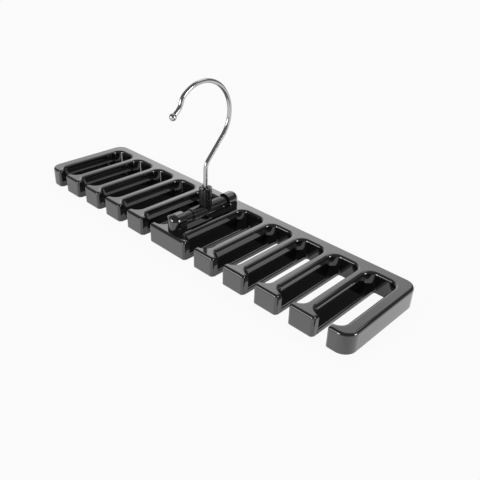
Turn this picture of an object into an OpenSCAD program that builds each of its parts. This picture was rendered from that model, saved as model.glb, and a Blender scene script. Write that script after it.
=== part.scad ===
// Tie hanger: a comb-shaped rack of T-ended fingers that lies flat, with a
// chrome hook standing on a swivelling yoke that tips between two bearing ears.
// Origin: centre of the rack's underside. +X runs along the rack, the fingers
// point towards -Y and +Z is up. Millimetres.

/* [Rack] */
// Overall length of the rack
rack_l = 305; // [290:1:330]
// Depth of the rack from the finger tips to the back
rack_w = 74; // [70:1:84]
// Thickness of the rack
rack_h = 14.4; // [12.4:0.2:16]
// Radius of the rack's four outer corners
corner_r = 8.5; // [7:0.5:10]
// Rounding of the rack's outer top edges and of the finger tips
outer_r = 2; // [1.2:0.1:2.2]
// Rounding of the rack's outer bottom edge
foot_r = 0.6; // [0.3:0.1:1]

/* [Fingers] */
// Fingers on each side of the centre block
fingers = 4; // [3:1:4]
// Width of the gap between two finger tips
mouth_w = 8.9; // [8:0.1:10]
// Depth of a T-shaped finger tip, front to back
tip_d = 5.1; // [4.6:0.1:6]
// Width of the end arm's tip
arm_tip_w = 15.3; // [14.6:0.1:17]
// Width of a finger's upright rib
rib_w = 6.2; // [5.4:0.1:6.8]
// Depth of the spine that joins the fingers
spine_d = 9.3; // [8.5:0.1:11]
// Height of the foot flange along each rib
flange_h = 3.2; // [2.4:0.1:4]
// Rounding of the rim of each pocket between the ribs
rim_r = 2.1; // [1.2:0.1:2.3]
// Rounding of the flange's edge
flange_r = 1; // [0.5:0.1:1.2]
// Corner radius of the slot at floor level
slot_r = 1.2; // [0.8:0.2:3]

/* [Centre block] */
// Width of the block's tip
block_tip_w = 37; // [34:0.5:40]
// Width of the block above its flange
block_w = 20.6; // [19:0.2:22]
// Width of the window under the barrel
window_w = 12.4; // [11.6:0.2:13]

/* [Underside] */
// Width of the moulding groove under a finger
rib_core_w = 2.4; // [1.6:0.1:3]
// Width of the moulding groove under the spine and the end arms
spine_core_w = 3.6; // [2:0.1:4]
// Thickness left above the moulding grooves
core_skin = 3; // [2:0.1:4]

/* [Bearing ears] */
// Middle between the two ears along Y
hinge_y = -1.4; // [-3:0.1:0]
// Height of the axle above the rack's top face
axle_lift = 5.7; // [5.6:0.1:7]
// Outer radius of an ear
ear_r = 5.5; // [5.3:0.1:6]
// Length of an ear along the axle
ear_l = 11; // [10:0.1:12]
// Rounding of an ear's domed outer end
ear_round = 5.1; // [4:0.1:5.2]
// Thickness of an ear's closed end
ear_end = 2.2; // [1.6:0.1:3]
// Radius of the rolled lip at the ear's mouth
lip_r = 1.2; // [1:0.1:1.5]
// Angle of the lip around the axle, from +X towards +Z
lip_angle = 148; // [142:1:160]
// Angle of the mouth's lower edge
sill_angle = 265; // [255:1:268]
// Running clearance around the journals
journal_gap = 0.08; // [0.04:0.01:0.1]
// End clearance of the journals and shoulders
end_gap = 0.3; // [0.2:0.05:0.5]

/* [Yoke] */
// How far the yoke sits from the middle between the ears, towards +Y
yoke_shift = 1.4; // [0:0.1:1.8]
// Radius of the barrel between the ears
barrel_r = 4.4; // [4.2:0.1:4.8]
// Length of the barrel
barrel_l = 28.2; // [26:0.2:30]
// Rounding of the barrel's ends
barrel_round = 0.4; // [0.3:0.1:1]
// Radius of the journals that turn in the ears
journal_r = 3.5; // [3.2:0.1:3.7]
// Length of bare journal between the barrel and an ear, with the yoke in the middle
neck_l = 6.8; // [6:0.1:8]
// Radius of the fluted post
post_r = 4.6; // [4.4:0.1:4.9]
// Height of the post above the axle
post_h = 17; // [15:0.1:19]
// Number of flutes around the post
flutes = 12; // [8:1:16]
// Radius of a flute
flute_r = 0.7; // [0.5:0.1:0.9]
// Height of the notched crown on the post
crown_h = 2; // [1.5:0.1:3]
// Number of notches in the crown
notches = 6; // [4:1:8]
// Width of a notch
notch_w = 1.3; // [1:0.1:1.6]
// Depth of a notch
notch_d = 1.1; // [0.6:0.1:1.4]
// Radius of the boss under the barrel
boss_r = 3.4; // [3.2:0.1:3.6]
// Reach of the boss below the axle
boss_drop = 7; // [6.4:0.1:7.2]
// Depth of the chamber in the boss
chamber_d = 2.4; // [2.2:0.1:2.8]
// How far the wire's lower end stays inside the chamber
stem_inset = 0.4; // [0.2:0.1:0.8]

/* [Hook] */
// Overall height, from the rack's underside to the top of the hook
overall_h = 114; // [110:1:122]
// Radius of the hook's wire
wire_r = 1.5; // [1.3:0.05:1.6]
// Running clearance of the wire in the yoke
wire_gap = 0.06; // [0.03:0.01:0.1]
// Radius of the hook's main curve, to the middle of the wire
hook_r = 24.5; // [22:0.1:27]
// How far the centre of the main curve lies in front of the stem
hook_c_y = 2.6; // [1:0.1:5]
// How far the bend above the straight stem lies below the top of the hook
bend_drop = 59.6; // [57:0.1:64]
// Radius of the bend above the stem
bend_r = 9; // [5:0.5:12]
// Heading of the wire where the main curve ends, turned from +Y
main_end = 220; // [212:1:226]
// Radius of the tighter curve near the hook's end
end_curve_r = 9; // [7:0.5:14]
// Turn of the tighter curve
end_turn = 36; // [25:1:42]
// Radius of the outward flick at the end
flick_r = 9; // [6:0.5:12]
// Turn of the outward flick
flick_turn = 38; // [25:1:42]
// Straight wire between the flick and the ball's centre
flick_l = 4.8; // [4:0.1:8]
// Radius of the ball on the end
ball_r = 2.4; // [2.1:0.1:2.8]
// Outer radius of the push-on nut under the barrel
nut_r = 2.6; // [2.4:0.05:2.7]
// Thickness of the push-on nut
nut_t = 0.6; // [0.4:0.1:0.8]
// Clearance around the push-on nut in its chamber
nut_gap = 0.15; // [0.1:0.05:0.2]
// Number of notches between the teeth of the push-on nut
nut_teeth = 6; // [4:1:8]
// Depth of those notches
tooth_d = 0.5; // [0.3:0.1:0.7]
// Width of those notches
tooth_gap = 0.3; // [0.2:0.05:0.5]

/* [Hidden] */
$fn = 64;
BLACK = [0.05, 0.05, 0.055];
CHROME = [0.8, 0.81, 0.83];
// How far a cut runs past the surface that it opens
over = 1;
// Extra radius of the round weld where two runs of the hook's wire meet
weld = 0.01;

front_y = -rack_w / 2;
pocket_front = front_y + tip_d;
pocket_back = rack_w / 2 - spine_d;
tip_w = (rack_l / 2 - block_tip_w / 2 - (fingers + 1) * mouth_w - arm_tip_w) / fingers;
// Distance from a mouth's side to the rib behind the tip, rounded by one quarter circle
shoulder = (tip_w - rib_w) / 2;
core_h = rack_h - core_skin;

axle_z = rack_h + axle_lift;
bore_r = journal_r + journal_gap;
bore_d = ear_l - ear_end;
ear_y = barrel_l / 2 + neck_l;
lip_reach = bore_r + lip_r;
stem_y = hinge_y + yoke_shift;
journal_reach = ear_y - yoke_shift + bore_d - end_gap;

post_z = axle_z + post_h;
stem_bottom = axle_z - boss_drop + stem_inset;
chamber_top = axle_z - boss_drop + chamber_d;

// Left edge of mouth i, counted from the centre block outwards
function mouth_x(i) = block_tip_w / 2 + i * (mouth_w + tip_w);

// Height of the centre of the main curve
hook_c_z = overall_h - wire_r - hook_r;
// Height of the bend above the straight stem
bend_z = overall_h - bend_drop;
// Straight tangent from the stem's bend to the main curve
centre_d = norm([hook_c_y, hook_c_z - bend_z]);
tangent_l = sqrt(centre_d * centre_d - hook_r * hook_r);
slant = 90 + atan(hook_c_y / (hook_c_z - bend_z)) - asin(hook_r / centre_d);
bend_turn = 90 - slant;
bend_run = bend_r * tan(bend_turn / 2);
main_turn = main_end - slant;

// The hook's wire from its lower end: [length] is straight, [radius, turn] is a
// bend, where a positive turn leans towards -Y
WIRE = [
    [bend_z - bend_run - stem_bottom],
    [bend_r, -bend_turn],
    [tangent_l - bend_run],
    [hook_r, main_turn],
    [end_curve_r, end_turn],
    [flick_r, -flick_turn],
    [flick_l]
];

// Square corner outside a quarter circle, cut away to round an edge
module corner_waste(r) {
    difference() {
        square(r + over);
        circle(r = r);
    }
}

// Edge of a plate from x = 0 out to x = w, with its top and bottom rounded
module plate_edge(w) {
    difference() {
        square([w, rack_h]);
        translate([w - outer_r, rack_h - outer_r]) corner_waste(outer_r);
        translate([w - foot_r, foot_r]) mirror([0, 1]) corner_waste(foot_r);
    }
}

// Side of a cut from x = 0 out to its wall at x = w, between the heights low and
// high, and opening out over a rounded rim of radius r
module cut_edge(w, r, low, high) {
    translate([0, low]) square([w, high + over - low]);
    translate([w, high - r]) difference() {
        square([r, r + over]);
        translate([r, 0]) circle(r = r);
    }
}

// Rounded rectangle l by w swept from the 2D edge given as a child, whose x = 0
// lies on the corner centres, and filled between the heights low and high
module swept_plate(l, w, r, low, high) {
    for (sx = [-1, 1], sy = [-1, 1])
        translate([sx * (l / 2 - r), sy * (w / 2 - r), 0])
            mirror([sx < 0 ? 1 : 0, 0, 0]) mirror([0, sy < 0 ? 1 : 0, 0])
                rotate_extrude(angle = 90) children();
    for (turn = [0, 180]) rotate([0, 0, turn]) {
        translate([r - l / 2, w / 2 - r, 0]) rotate([90, 0, 90])
            linear_extrude(l - 2 * r) children();
        translate([l / 2 - r, w / 2 - r, 0]) rotate([90, 0, 0])
            linear_extrude(w - 2 * r) children();
    }
    translate([r - l / 2, r - w / 2, low]) cube([l - 2 * r, w - 2 * r, high - low]);
}

// Pocket between two ribs, above the flanges, from x0 to x1
module pocket(x0, x1) {
    translate([(x0 + x1) / 2, (pocket_front + pocket_back) / 2, 0])
        swept_plate(x1 - x0, pocket_back - pocket_front, shoulder, flange_h, rack_h + over)
            cut_edge(shoulder, rim_r, flange_h, rack_h);
}

// Through slot between two flanges, from x0 to x1; the flanges' rounded edges end
// at the pocket's end walls
module floor_slot(x0, x1) {
    intersection() {
        translate([(x0 + x1) / 2, (pocket_front + pocket_back) / 2, 0])
            swept_plate(x1 - x0, pocket_back - pocket_front, slot_r, -over, flange_h + over)
                cut_edge(slot_r, flange_r, -over, flange_h);
        translate([x0 - flange_r - over, pocket_front, -2 * over])
            cube([x1 - x0 + 2 * (flange_r + over), pocket_back - pocket_front, flange_h + 4 * over]);
    }
}

// Mouth between two finger tips, starting at x0
module mouth(x0) {
    translate([x0 + mouth_w / 2, 0, 0]) {
        for (side = [0, 1]) mirror([side, 0, 0]) {
            translate([0, pocket_front + over / 2, 0]) rotate([90, 0, 0])
                linear_extrude(tip_d - outer_r + over / 2)
                    cut_edge(mouth_w / 2, outer_r, -over, rack_h);
            translate([mouth_w / 2 + outer_r, front_y + outer_r, 0]) difference() {
                translate([-outer_r - mouth_w / 2, -outer_r - over, -over])
                    cube([outer_r + mouth_w / 2, outer_r + over, rack_h + 2 * over]);
                rotate_extrude() plate_edge(outer_r);
            }
        }
    }
}

// The three cuts of slot i on the +X side
module slot(i) {
    x0 = mouth_x(i);
    x1 = x0 + mouth_w;
    pocket(i == 0 ? block_w / 2 : x0 - shoulder, x1 + shoulder);
    floor_slot(x0, x1);
    mouth(x0);
}

// Moulding grooves in the underside
module underside_grooves() {
    spine_y = rack_w / 2 - spine_d / 2;
    arm_x = (rack_l / 2 + mouth_x(fingers) + mouth_w + shoulder) / 2;
    for (side = [0, 1]) mirror([side, 0, 0]) {
        for (i = [1 : fingers])
            translate([mouth_x(i) - tip_w / 2 - rib_core_w / 2, pocket_front, -over])
                cube([rib_core_w, spine_y - pocket_front, core_h + over]);
        translate([arm_x - spine_core_w / 2, pocket_front, -over])
            cube([spine_core_w, spine_y - pocket_front, core_h + over]);
        translate([block_w / 2, spine_y - spine_core_w / 2, -over])
            cube([arm_x - block_w / 2 + spine_core_w / 2, spine_core_w, core_h + over]);
    }
}

// Half outline of an ear seen from above, from its axis to its side
module ear_outline() {
    square([ear_r, ear_l - ear_round]);
    square([ear_r - ear_round, ear_l]);
    translate([ear_r - ear_round, ear_l - ear_round]) intersection() {
        circle(r = ear_round);
        square(ear_round);
    }
}

// Bearing ear with its open side on y = 0 and its domed end towards +Y: a
// half-turned dome on an upright of the same outline, bored for a journal and
// open on the side towards -X, where the lip holds the journal in
module ear() {
    difference() {
        union() {
            translate([0, 0, axle_z]) rotate([-90, 0, 0]) mirror([0, 1, 0])
                rotate_extrude(angle = 180) ear_outline();
            translate([0, 0, rack_h - over]) linear_extrude(axle_lift + over)
                for (side = [0, 1]) mirror([side, 0]) ear_outline();
        }
        translate([0, -over, axle_z]) rotate([-90, 0, 0])
            cylinder(r = bore_r, h = bore_d + over);
        translate([0, bore_d, axle_z]) rotate([90, 0, 0]) linear_extrude(bore_d + over)
            polygon([[0, 0],
                     [-2 * ear_r, -2 * ear_r * tan(lip_angle)],
                     [-2 * ear_r, -axle_lift],
                     [axle_lift / tan(sill_angle) * -1, -axle_lift]]);
    }
    translate([lip_reach * cos(lip_angle), 0, axle_z + lip_reach * sin(lip_angle)])
        rotate([-90, 0, 0]) cylinder(r = lip_r, h = bore_d);
}

module rack() {
    color(BLACK) {
        difference() {
            swept_plate(rack_l, rack_w, corner_r, 0, rack_h) plate_edge(corner_r);
            for (side = [0, 1]) mirror([side, 0, 0])
                for (i = [0 : fingers]) slot(i);
            translate([-window_w / 2, hinge_y - ear_y, -over])
                cube([window_w, 2 * ear_y, rack_h + 2 * over]);
            underside_grooves();
        }
        for (side = [0, 1])
            translate([0, hinge_y, 0]) mirror([0, side, 0]) translate([0, ear_y, 0]) ear();
    }
}

// Yoke: a barrel with a journal at each end, a fluted post with a notched crown
// and a boss below, all bored for the hook's wire
module swivel_yoke() {
    color(BLACK) translate([0, stem_y, axle_z]) difference() {
        union() {
            rotate([90, 0, 0]) rotate_extrude() {
                for (side = [0, 1]) mirror([0, side]) {
                    square([barrel_r, barrel_l / 2 - barrel_round]);
                    square([barrel_r - barrel_round, barrel_l / 2]);
                    translate([barrel_r - barrel_round, barrel_l / 2 - barrel_round])
                        intersection() {
                            circle(r = barrel_round);
                            square(barrel_round);
                        }
                    square([journal_r, journal_reach]);
                }
            }
            difference() {
                cylinder(r = post_r, h = post_h);
                for (i = [0 : flutes - 1]) rotate([0, 0, i * 360 / flutes])
                    translate([post_r + flute_r * 0.4, 0, barrel_r - over])
                        cylinder(r = flute_r, h = post_h - barrel_r - crown_h + over);
                for (i = [0 : notches - 1]) rotate([0, 0, i * 360 / notches])
                    translate([0, -notch_w / 2, post_h - notch_d])
                        cube([post_r + over, notch_w, notch_d + over]);
            }
            mirror([0, 0, 1]) cylinder(r = boss_r, h = boss_drop);
        }
        translate([0, 0, -boss_drop - over])
            cylinder(r = wire_r + wire_gap, h = boss_drop + post_h + 2 * over);
        translate([0, 0, -boss_drop - over]) cylinder(r = nut_r + nut_gap, h = chamber_d + over);
    }
}

// Wire run laid from segment i onwards, starting at the origin towards +Z
module wire_run(i = 0) {
    if (i > 0 && i < len(WIRE)) sphere(r = wire_r + weld);
    if (i < len(WIRE)) {
        if (len(WIRE[i]) == 1) {
            cylinder(r = wire_r, h = WIRE[i][0]);
            translate([0, 0, WIRE[i][0]]) wire_run(i + 1);
        } else {
            r = WIRE[i][0];
            turn = abs(WIRE[i][1]);
            lean = WIRE[i][1] > 0 ? 1 : 0;
            mirror([0, lean, 0]) {
                translate([0, r, 0]) rotate([0, -90, 0]) rotate([0, 0, -90])
                    rotate_extrude(angle = turn) translate([r, 0]) circle(r = wire_r);
                translate([0, r, 0]) rotate([-turn, 0, 0]) translate([0, -r, 0])
                    mirror([0, lean, 0]) wire_run(i + 1);
            }
        }
    }
}

// Places its children in the wire's end, with +Z along the wire
module at_wire_end(i = 0) {
    if (i == len(WIRE)) children();
    else if (len(WIRE[i]) == 1)
        translate([0, 0, WIRE[i][0]]) at_wire_end(i + 1) children();
    else {
        lean = WIRE[i][1] > 0 ? 1 : 0;
        mirror([0, lean, 0]) translate([0, WIRE[i][0], 0]) rotate([-abs(WIRE[i][1]), 0, 0])
            translate([0, -WIRE[i][0], 0]) mirror([0, lean, 0]) at_wire_end(i + 1) children();
    }
}

module hook_wire() {
    color(CHROME) translate([0, stem_y, stem_bottom]) wire_run();
}

// Ball pressed over the end of the wire
module ball_tip() {
    color(CHROME) translate([0, stem_y, stem_bottom]) at_wire_end() difference() {
        sphere(r = ball_r);
        translate([0, 0, -ball_r - over]) cylinder(r = wire_r, h = ball_r + over);
    }
}

// Toothed push-on nut that keeps the wire in the yoke
module push_nut() {
    color(CHROME) translate([0, stem_y, chamber_top - end_gap / 2 - nut_t]) difference() {
        cylinder(r = nut_r, h = nut_t);
        translate([0, 0, -over]) cylinder(r = wire_r, h = nut_t + 2 * over);
        for (i = [0 : nut_teeth - 1]) rotate([0, 0, i * 360 / nut_teeth])
            translate([0, -tooth_gap / 2, -over])
                cube([wire_r + tooth_d, tooth_gap, nut_t + 2 * over]);
    }
}

rack();
swivel_yoke();
hook_wire();
ball_tip();
push_nut();
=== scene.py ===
"""Tie hanger: looks, floor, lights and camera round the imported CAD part. Metres."""
import math

import bpy
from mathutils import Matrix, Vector


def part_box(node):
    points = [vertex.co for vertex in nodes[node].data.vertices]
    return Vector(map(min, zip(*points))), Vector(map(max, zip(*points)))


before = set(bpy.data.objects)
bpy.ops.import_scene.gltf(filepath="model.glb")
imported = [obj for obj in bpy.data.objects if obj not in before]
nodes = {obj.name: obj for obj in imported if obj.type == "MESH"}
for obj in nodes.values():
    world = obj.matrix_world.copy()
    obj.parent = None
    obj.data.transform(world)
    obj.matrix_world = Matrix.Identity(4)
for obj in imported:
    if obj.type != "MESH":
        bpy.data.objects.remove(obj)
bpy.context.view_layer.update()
# The rack is centred on the origin, so its highest corner gives half its length and half its depth
rack_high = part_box("rack")[1]


# Sizes and levels. Lengths and places are in metres unless a comment says otherwise

# The part of the range from 0 to 1 that noise mostly keeps to
NOISE_RANGE = (0.35, 0.65)

# Black plastic. Scales are features to a metre
BLACK = ((0.006, 0.006, 0.007), (0.011, 0.011, 0.012))
PLASTIC_IOR = 1.59
COAT_ROUGHNESS = 0.03
FLOW_SCALE = 35
WAVE_SCALE = 120
WAVE_HEIGHT = 0.0004
SCUFF_SCALE = 900
SCUFF_HEIGHT = 0.00002

# Plated metal. Scales are features to a metre. The clouds' shade is a share of the metal's colour,
# and the marks lie between two shares of its roughness
CLOUD_SCALE = 200
CLOUD_SHADE = 0.92
MARK_SCALE = 1500
MARK_HEIGHT = 0.00001
MARK_ROUGHNESS = (0.6, 1.6)
EDGE_TINT = (0.55, 0.55, 0.55)

# Floor, a hair below the rack's underside
FLOOR_SIZE = 12
FLOOR_DROP = 0.0002
FLOOR_WHITE = (0.92, 0.92, 0.92)

# Share of plain white that the eye sees in the floor
SEEN_WHITE = 0.93

# Shares of plain white that reflections show, and the places between which they go from one to the
# other.
# They paint light and shade on the floor as reflections show it: painted light that grows from left
# to right along the rack, painted shade past its right end, and a painted shadow under the rack that
# lifts from its middle outwards. The last pair of places is in half lengths and half depths of the
# rack
PAINTED_LIGHT_ALONG = (0.5, 1.0)
PAINTED_LIGHT_ALONG_BETWEEN = (-0.14, 0.1)
PAINTED_SHADE_PAST = (1.0, 0.78)
PAINTED_SHADE_PAST_BETWEEN = (rack_high.x - 0.0025, rack_high.x + 0.0035)
PAINTED_SHADOW_UNDER = (0.5, 1.0)
PAINTED_SHADOW_UNDER_BETWEEN = (0.9, 1.03)

# World
STUDIO_GREY = (0.16, 0.16, 0.165)
HORIZON_WHITE = (0.945, 0.945, 0.945)

# The point that the lamps face
AIM = Vector((0, 0, 0.03))

# Camera, fitted to the photograph's outline. The turn is in degrees, the lens in millimetres
CAMERA_PLACE = (0.2681, -0.2503, 0.21116)
CAMERA_TURN = (59.413, -2.112, 44.167)
CAMERA_LENS = 42.842
CAMERA_NEAR = 0.01


# Node helpers

def new_material(name):
    """A material with its node tree and its shader."""
    mat = bpy.data.materials.new(name)
    mat.use_nodes = True
    tree = mat.node_tree
    return mat, tree, tree.nodes["Principled BSDF"]


def noise(tree, scale, detail=3):
    """Noise in object space, so many features to a metre."""
    coords = tree.nodes.new("ShaderNodeTexCoord")
    tex = tree.nodes.new("ShaderNodeTexNoise")
    tex.inputs["Scale"].default_value = scale
    tex.inputs["Detail"].default_value = detail
    tree.links.new(coords.outputs["Object"], tex.inputs["Vector"])
    return tex.outputs["Fac"]


def spread(tree, value, low, high, between=NOISE_RANGE):
    """Result that goes from low to high as a value crosses a span, and stays level past its ends."""
    node = tree.nodes.new("ShaderNodeMapRange")
    node.inputs["From Min"].default_value = between[0]
    node.inputs["From Max"].default_value = between[1]
    node.inputs["To Min"].default_value = low
    node.inputs["To Max"].default_value = high
    tree.links.new(value, node.inputs["Value"])
    return node.outputs["Result"]


def bump(tree, value, height, strength, under=None):
    """Bump of that height, on top of another bump if one is given."""
    node = tree.nodes.new("ShaderNodeBump")
    node.inputs["Distance"].default_value = height
    node.inputs["Strength"].default_value = strength
    tree.links.new(value, node.inputs["Height"])
    if under is not None:
        tree.links.new(under, node.inputs["Normal"])
    return node.outputs["Normal"]


def two_colours(tree, value, low, high):
    """Colour that goes from low to high with a value."""
    ramp = tree.nodes.new("ShaderNodeValToRGB")
    ramp.color_ramp.elements[0].color = (*low, 1)
    ramp.color_ramp.elements[1].color = (*high, 1)
    tree.links.new(value, ramp.inputs["Fac"])
    return ramp.outputs["Color"]


def math_node(tree, operation, *values):
    """Result of an operation on one or two values, each a socket or a number."""
    node = tree.nodes.new("ShaderNodeMath")
    node.operation = operation
    for socket, value in zip(node.inputs, values):
        if isinstance(value, (int, float)):
            socket.default_value = value
        else:
            tree.links.new(value, socket)
    return node.outputs[0]


def coloured(tree, kind, colour):
    """A new shader node of that kind and colour."""
    node = tree.nodes.new(kind)
    node.inputs["Color"].default_value = (*colour, 1)
    return node


def mix_surface(tree, share, first, second, output):
    """Ends a tree in a mix of two shaders, in which the second has that share."""
    mix = tree.nodes.new("ShaderNodeMixShader")
    tree.links.new(share, mix.inputs["Fac"])
    tree.links.new(first.outputs[0], mix.inputs[1])
    tree.links.new(second.outputs[0], mix.inputs[2])
    tree.links.new(mix.outputs[0], tree.nodes[output].inputs["Surface"])


# Materials

def black_plastic(name, rough, coat):
    """Black moulding: faint flow in the colour, a slow waviness and fine scuffs.

    rough is its lowest and highest roughness, and coat the weight of its clear gloss.
    """
    mat, tree, shader = new_material(name)
    flow = noise(tree, FLOW_SCALE)
    scuffs = noise(tree, SCUFF_SCALE, detail=4)
    tree.links.new(two_colours(tree, flow, *BLACK), shader.inputs["Base Color"])
    tree.links.new(spread(tree, scuffs, *rough), shader.inputs["Roughness"])
    waves = bump(tree, noise(tree, WAVE_SCALE, detail=2), WAVE_HEIGHT, strength=0.04)
    relief = bump(tree, scuffs, SCUFF_HEIGHT, strength=0.25, under=waves)
    tree.links.new(relief, shader.inputs["Normal"])
    shader.inputs["IOR"].default_value = PLASTIC_IOR
    shader.inputs["Coat Weight"].default_value = coat
    shader.inputs["Coat Roughness"].default_value = COAT_ROUGHNESS
    shader.inputs["Coat IOR"].default_value = PLASTIC_IOR
    return mat


def metal(name, colour, rough):
    """Plated metal, a little clouded, with fine polishing marks."""
    mat, tree, shader = new_material(name)
    marks = noise(tree, MARK_SCALE)
    darker = [CLOUD_SHADE * part for part in colour]
    clouded = two_colours(tree, noise(tree, CLOUD_SCALE), darker, colour)
    smooth, dull = [rough * part for part in MARK_ROUGHNESS]
    tree.links.new(clouded, shader.inputs["Base Color"])
    tree.links.new(spread(tree, marks, smooth, dull), shader.inputs["Roughness"])
    tree.links.new(bump(tree, marks, MARK_HEIGHT, strength=0.3), shader.inputs["Normal"])
    shader.inputs["Metallic"].default_value = 1.0
    shader.inputs["Specular Tint"].default_value = (*EDGE_TINT, 1)
    return mat


def dress(name, material):
    """Gives a CAD node its material."""
    mesh = nodes[name].data
    mesh.materials.clear()
    mesh.materials.append(material)


gloss = black_plastic("black_gloss", rough=(0.05, 0.12), coat=1.0)
satin = black_plastic("black_satin", rough=(0.2, 0.3), coat=0.15)
chrome = metal("chrome_wire", colour=(0.56, 0.56, 0.57), rough=0.15)
zinc = metal("zinc_plate", colour=(0.55, 0.55, 0.53), rough=0.3)
dress("rack", gloss)
dress("swivel_yoke", satin)
dress("hook_wire", chrome)
dress("ball_tip", chrome)
dress("push_nut", zinc)


# Floor and world

def painted_mirrored_white(tree):
    """Share of plain white that reflections show, painted by place: painted light that grows to the
    right, painted shade past the rack's right end and a painted shadow under the rack.
    """
    coords = tree.nodes.new("ShaderNodeTexCoord")
    place = tree.nodes.new("ShaderNodeSeparateXYZ")
    tree.links.new(coords.outputs["Object"], place.inputs[0])
    # Painted light from left to right, painted shade past the right end and a painted shadow under
    # the rack
    along = spread(tree, place.outputs["X"], *PAINTED_LIGHT_ALONG, PAINTED_LIGHT_ALONG_BETWEEN)
    past = spread(tree, place.outputs["X"], *PAINTED_SHADE_PAST, PAINTED_SHADE_PAST_BETWEEN)
    across = [math_node(tree, "ABSOLUTE", math_node(tree, "DIVIDE", place.outputs[axis], half))
              for axis, half in (("X", rack_high.x), ("Y", rack_high.y))]
    under = spread(tree, math_node(tree, "MAXIMUM", *across), *PAINTED_SHADOW_UNDER, PAINTED_SHADOW_UNDER_BETWEEN)
    return math_node(tree, "MULTIPLY", math_node(tree, "MULTIPLY", along, past), under)


def white_share(tree, seen, mirrored):
    """Share of plain white: one to the eye, one in reflections, none for the light's own bounces."""
    path = tree.nodes.new("ShaderNodeLightPath").outputs
    straight = math_node(tree, "MULTIPLY", path["Is Camera Ray"], seen)
    bent = math_node(tree, "MAXIMUM", path["Is Glossy Ray"], path["Is Transmission Ray"])
    return math_node(tree, "MAXIMUM", straight, math_node(tree, "MULTIPLY", bent, mirrored))


def make_floor():
    """White floor that stays white to the eye and keeps a soft shadow, and in reflections shows
    painted light and shade by place.
    """
    bpy.ops.mesh.primitive_plane_add(size=FLOOR_SIZE, location=(0, 0, -FLOOR_DROP))
    floor = bpy.context.object
    floor.name = "floor"
    mat, tree, shader = new_material("white_floor")
    tree.nodes.remove(shader)
    matt = coloured(tree, "ShaderNodeBsdfDiffuse", FLOOR_WHITE)
    glow = coloured(tree, "ShaderNodeEmission", (1, 1, 1))
    # In reflections the floor carries painted light, painted shade past the rack's end and a painted
    # shadow under the rack
    share = white_share(tree, SEEN_WHITE, painted_mirrored_white(tree))
    mix_surface(tree, share, matt, glow, "Material Output")
    floor.data.materials.append(mat)


def make_world():
    """White to the camera, a dim studio to everything else."""
    world = bpy.data.worlds.new("studio")
    bpy.context.scene.world = world
    world.use_nodes = True
    tree = world.node_tree
    tree.nodes.remove(tree.nodes["Background"])
    studio = coloured(tree, "ShaderNodeBackground", STUDIO_GREY)
    horizon = coloured(tree, "ShaderNodeBackground", HORIZON_WHITE)
    path = tree.nodes.new("ShaderNodeLightPath")
    mix_surface(tree, path.outputs["Is Camera Ray"], studio, horizon, "World Output")


make_floor()
make_world()


# Lamps

def softbox(name, azimuth, elevation, distance, width, height, radiance):
    """Area light that faces the object, as lamp data.

    Azimuth 0 is in front (-Y) and 90 to the right (+X). Angles are in degrees.
    """
    turn = math.radians(azimuth)
    rise = math.radians(elevation)
    level = Vector((math.sin(turn), -math.cos(turn), 0)) * math.cos(rise)
    out = level + Vector((0, 0, math.sin(rise)))
    data = bpy.data.lights.new(name, "AREA")
    data.shape = "RECTANGLE"
    data.size = width
    data.size_y = height
    data.energy = radiance * math.pi * width * height
    lamp = bpy.data.objects.new(name, data)
    lamp.location = AIM + out * distance
    lamp.rotation_euler = out.to_track_quat("Z", "Y").to_euler()
    bpy.context.scene.collection.objects.link(lamp)
    return data


def grade(data, *steps):
    """Grades a lamp over its face, from 0 to 1 along X and Y.

    A step is an axis, two shares of the lamp's strength and the places between which they hold.
    """
    data.use_nodes = True
    tree = data.node_tree
    geometry = tree.nodes.new("ShaderNodeNewGeometry")
    split = tree.nodes.new("ShaderNodeSeparateXYZ")
    tree.links.new(geometry.outputs["Parametric"], split.inputs[0])
    share = 1.0
    for axis, (low, high), between in steps:
        step = spread(tree, split.outputs[axis], low, high, between)
        share = math_node(tree, "MULTIPLY", share, step)
    tree.links.new(share, tree.nodes["Emission"].inputs["Strength"])


backdrop = softbox("backdrop", 226, 30, distance=1.8, width=2.6, height=1.2, radiance=1.38)
# Dimmer towards both ends and towards the top
grade(backdrop,
      ("X", (0.32, 1.0), (0.05, 0.47)),
      ("X", (1.0, 0.5), (0.54, 0.68)),
      ("Y", (1.0, 0.6), (0.66, 0.9)))
softbox("top_back", 188, 57, distance=1.6, width=1.7, height=0.65, radiance=0.85)
softbox("key_left", -8, 15, distance=1.3, width=0.34, height=0.4, radiance=10)
softbox("strip_left", -28, 16, distance=1.3, width=0.5, height=0.34, radiance=4)
softbox("key_right", 107, 15, distance=1.3, width=0.34, height=0.4, radiance=10)


# Camera

def make_camera():
    """The camera at the photograph's viewing angle."""
    data = bpy.data.cameras.new("camera")
    data.lens = CAMERA_LENS
    data.clip_start = CAMERA_NEAR
    camera = bpy.data.objects.new("camera", data)
    camera.location = CAMERA_PLACE
    camera.rotation_euler = [math.radians(angle) for angle in CAMERA_TURN]
    bpy.context.scene.collection.objects.link(camera)
    bpy.context.scene.camera = camera


make_camera()
bpy.context.scene.view_settings.view_transform = "Standard"
